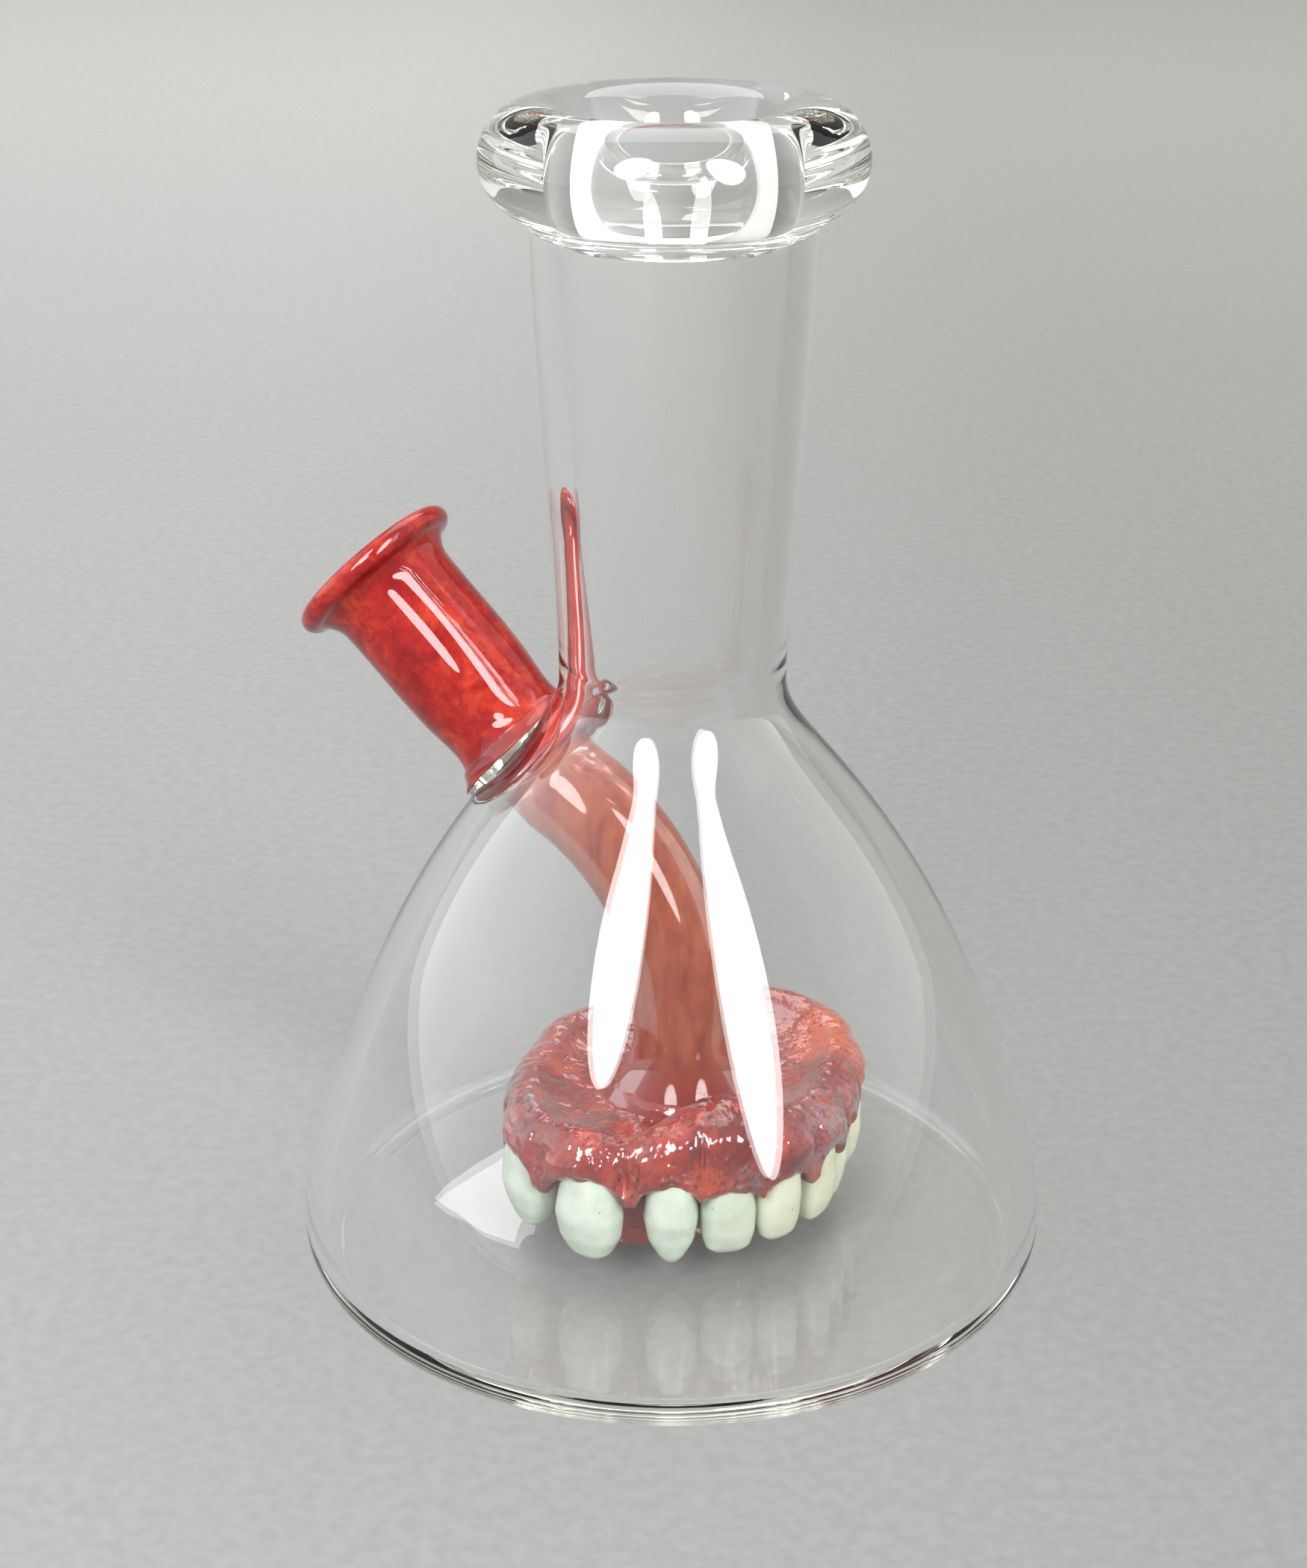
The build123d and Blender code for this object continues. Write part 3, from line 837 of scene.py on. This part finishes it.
def make_gum():
    """The gum: closed sections all round the jaw, with the lumps of its skin pushed out."""
    around = 900
    steps = 110
    rings = []
    for i in range(around):
        angle = 2 * pi * i / around
        section = closed_curve(gum_section(angle), steps)
        along = np.roll(section, -1, axis=0) - np.roll(section, 1, axis=0)
        along /= np.linalg.norm(along, axis=1)[:, None]
        outward = Vector((cos(angle), sin(angle), 0))
        ring = []
        for (inset, z), (run, rise) in zip(section, along):
            point = jaw_point(angle, inset, z)
            outer_side = 1 - smoothstep(2.0 * MM, 7.0 * MM, inset)
            lump = skin_lump(point, outer_side)
            ring.append(point + (outward * rise + UP * run) * lump)
        rings.append(ring)
    gum = loft("gum", rings, GUM, close_rings=True)
    return keep(gum, "gum_glass", "gum_ridge")


# form of a crown: share of the height from the tip, then share of the width and of the depth
CROWNS = {
    "incisor": [
        (0, 0.52, 0.30),
        (0.06, 0.80, 0.52),
        (0.2, 0.97, 0.76),
        (0.42, 1.0, 0.96),
        (0.7, 0.84, 0.96),
        (1, 0.6, 0.7),
    ],
    "canine": [
        (0, 0.20, 0.24),
        (0.07, 0.48, 0.48),
        (0.22, 0.84, 0.80),
        (0.44, 1.0, 1.0),
        (0.7, 0.88, 0.96),
        (1, 0.6, 0.7),
    ],
    "premolar": [
        (0, 0.36, 0.34),
        (0.07, 0.66, 0.60),
        (0.22, 0.92, 0.84),
        (0.44, 1.0, 1.0),
        (0.7, 0.86, 0.96),
        (1, 0.6, 0.7),
    ],
    "molar": [
        (0, 0.55, 0.45),
        (0.06, 0.80, 0.70),
        (0.2, 0.97, 0.90),
        (0.42, 1.0, 1.0),
        (0.7, 0.9, 0.96),
        (1, 0.66, 0.75),
    ],
}


def make_tooth(name, direction, width, depth, extra, form):
    """One crown: rounded-square sections from a blunt tip up to a root that the gum hides."""
    angle = radians(direction)
    outward = Vector((cos(angle), sin(angle), 0))
    across = UP.cross(outward)
    seat = jaw_point(angle, TOOTH_INSET, 0)
    tip = TOOTH_TIP - extra * MM
    shape = np.array(CROWNS[form])
    tip_crown = 0.25 * MM
    square = 2.5
    around = 72
    rings = []
    for h in denser_end(10, 30, 0.12):
        broad = np.interp(h, shape[:, 0], shape[:, 1]) * width * MM / 2
        deep = np.interp(h, shape[:, 0], shape[:, 2]) * depth * MM / 2
        z = tip + h * (TOOTH_ROOT - tip)
        ring = []
        for k in range(around):
            t = 2 * pi * k / around
            c, s = cos(t), sin(t)
            x = abs(c) ** (2 / square) * (1 if c >= 0 else -1) * deep
            y = abs(s) ** (2 / square) * (1 if s >= 0 else -1) * broad
            point = seat + outward * x + across * y + UP * z
            wobble = noise.noise(point * 160 + Vector((direction, 0, 0))) * 0.35 * MM
            ring.append(point + outward * wobble)
        rings.append(ring)
    ends = (seat + UP * (tip - tip_crown), seat + UP * TOOTH_ROOT)
    piece = loft(name + "_crown", rings, TOOTH, start=ends[0], end=ends[1])
    smooth = piece.modifiers.new("smooth", "SMOOTH")
    smooth.factor = 0.5
    smooth.iterations = 4
    return keep(piece, "tooth_glass", name)


make_vessel()
make_joint()
make_stem()
make_cup()
make_gum()
for tooth_name, numbers in TEETH.items():
    make_tooth(tooth_name, *numbers)


# ---------------------------------------------------------------- studio
LAMP_AIM = 60 * MM
LAMP_DISTANCE = 1.8
GLINT_DISTANCE = 1.81
SOFTBOX_RADIANCE = 10.5
GLINT_RADIANCE = 5
# azimuth and elevation in degrees, then width and height in metres
SOFTBOXES = {"left": (-27, 39.2, (0.58, 1.35)), "right": (33, 32.5, (0.60, 1.62))}


def make_sweep():
    """Pale floor that curves up into a backdrop, with painted light: made paler with distance and to
    the left.
    """
    material, nodes, links, shader = new_material("studio_paper")
    grain = add_noise(nodes, links, add_place(nodes), 420, 3, 0.6)
    greys = [(0.35, (0.285, 0.285, 0.277, 1)), (0.65, (0.315, 0.315, 0.307, 1))]
    paper = add_ramp(nodes, links, grain, greys)
    # painted light: the paper is made paler far off and darker to the right, as the lamps' light would
    # fall
    painted_light_grades = [
        ("Y", 0, 1350, (0.92, 0.92, 0.93, 1), (1.50, 1.50, 1.48, 1)),
        ("X", -160, 160, (1.03, 1.03, 1.04, 1), (0.78, 0.785, 0.77, 1)),
    ]
    for axis, low, high, first, last in painted_light_grades:
        along = add_spread(nodes, links, add_place(nodes), axis, low, high)
        painted_light_grade = add_ramp(nodes, links, along, [(0.0, first), (1.0, last)])
        paper = add_mix(nodes, links, 1.0, paper, painted_light_grade, "MULTIPLY")
    links.new(paper, shader.inputs["Base Color"])
    shader.inputs["Roughness"].default_value = 0.9
    shader.inputs["Specular IOR Level"].default_value = 0.1
    reach, top, half_width = 2.2, 2.4, 2.6
    bend = 0.7
    drop = 0.2 * MM
    curve = arc((reach - bend, bend), bend, 270, 360, 16)
    outline = [(-reach, 0), *curve, (reach, top)]
    vertices = [(x, y, z - drop) for x in (-half_width, half_width) for y, z in outline]
    count = len(outline)
    faces = [(i, i + 1, count + i + 1, count + i) for i in range(count - 1)]
    sweep = new_piece("studio_sweep", vertices, faces, material)


def toward(azimuth, elevation):
    """Unit direction; azimuth is from -Y towards +X."""
    a, e = radians(azimuth), radians(elevation)
    return Vector((sin(a) * cos(e), -cos(a) * cos(e), sin(e)))


def add_light(name, azimuth, elevation, distance, size, radiance, shape="ELLIPSE"):
    """Softbox aimed at the pipe's axis; its radiance says how bright it looks."""
    aim = Vector((0, 0, LAMP_AIM))
    place = aim + toward(azimuth, elevation) * distance
    data = bpy.data.lights.new(name, "AREA")
    data.shape = shape
    data.size, data.size_y = size
    area = size[0] * size[1] * (pi / 4 if shape == "ELLIPSE" else 1)
    data.energy = radiance * pi * area
    lamp = bpy.data.objects.new(name, data)
    bpy.context.scene.collection.objects.link(lamp)
    facing = (place - aim).to_track_quat("Z", "Y").to_matrix().to_4x4()
    lamp.matrix_world = Matrix.Translation(place) @ facing
    return lamp


def make_softboxes():
    """The two tall lamps of the bell's long highlights. A glint adds only to what is mirrored."""
    for side, (azimuth, elevation, size) in SOFTBOXES.items():
        add_light(side + "_softbox", azimuth, elevation, LAMP_DISTANCE, size, SOFTBOX_RADIANCE)
        glint = add_light(side + "_glint", azimuth, elevation, GLINT_DISTANCE, size, GLINT_RADIANCE)
        glint.visible_diffuse = False


def make_joint_kicker():
    """A lamp that only the side joint sees."""
    kicker = add_light("joint_kicker", -10, 31, LAMP_DISTANCE, (0.42, 0.6), 15)
    only_joint = bpy.data.collections.new("joint_only")
    only_joint.objects.link(bpy.data.objects["side_joint"])
    kicker.light_linking.receiver_collection = only_joint


def make_card():
    """Bright card 1 m behind and above, which the glass floor mirrors beside the left teeth."""
    material, nodes, links, shader = new_material("white_card")
    shader.inputs["Base Color"].default_value = (0.8, 0.8, 0.8, 1)
    shader.inputs["Emission Color"].default_value = (1, 1, 1, 1)
    shader.inputs["Emission Strength"].default_value = 3
    away = toward(185, 32)
    right = away.cross(UP).normalized()
    top = right.cross(away)
    # millimetres to the left and up, as seen from the pipe
    corners = [(101, -21), (88, -30), (41, -48), (-20, -30), (-6, -2), (26, 6), (56, -1), (87, -13)]
    vertices = [away - right * (left * MM) + top * (up * MM) for left, up in corners]
    card = new_piece("white_card", vertices, [tuple(range(len(corners)))], material)


def make_world():
    """A pale room, brightest at its left wall and dimmer behind the camera."""
    world = bpy.data.worlds.new("studio")
    bpy.context.scene.world = world
    world.use_nodes = True
    nodes, links = world.node_tree.nodes, world.node_tree.links
    direction = nodes.new("ShaderNodeTexCoord").outputs["Generated"]
    unit = 1 / MM  # add_spread counts in millimetres, and a direction is 1 long
    across = add_spread(nodes, links, direction, "X", -unit, unit)
    walls = add_ramp(
        nodes, links, across,
        [
            (0.0, (0.70, 0.70, 0.73, 1)),
            (0.15, (0.47, 0.47, 0.48, 1)),
            (0.45, (0.36, 0.36, 0.355, 1)),
            (0.85, (0.30, 0.30, 0.295, 1)),
            (1.0, (0.42, 0.42, 0.41, 1)),
        ],
    )
    depth = add_spread(nodes, links, direction, "Y", -0.9 * unit, 0.1 * unit)
    front = add_ramp(nodes, links, depth, [(0.0, (0.55, 0.55, 0.55, 1)), (1.0, (1, 1, 1, 1))])
    room = add_mix(nodes, links, 1.0, walls, front, "MULTIPLY")
    links.new(room, nodes["Background"].inputs["Color"])
    nodes["Background"].inputs["Strength"].default_value = 2.6


def set_light_paths():
    """Plain colours, and enough bounces for light to pass through the glass walls."""
    scene = bpy.context.scene
    scene.view_settings.view_transform = "Standard"
    scene.cycles.max_bounces = 48
    scene.cycles.transmission_bounces = 48
    scene.cycles.sample_clamp_indirect = 6
    scene.cycles.glossy_bounces = 16


def make_camera():
    """The photograph's camera, solved from the ellipses of the base, the neck and the lip."""
    data = bpy.data.cameras.new("camera")
    data.lens = 64.69
    data.sensor_width = 36
    camera = bpy.data.objects.new("camera", data)
    bpy.context.scene.collection.objects.link(camera)
    camera.location = (0, -383.64 * MM, 235.6 * MM)
    looks_down = 22.624
    looks_left = 0.416
    camera.rotation_euler = (radians(90 - looks_down), 0, radians(looks_left))
    bpy.context.scene.camera = camera


make_sweep()
make_world()
make_card()
make_softboxes()
make_joint_kicker()
add_light("top_softbox", 180, 62, 2.6, (2.0, 2.0), 2.4, "RECTANGLE")
set_light_paths()
make_camera()

bpy.context.view_layer.update()
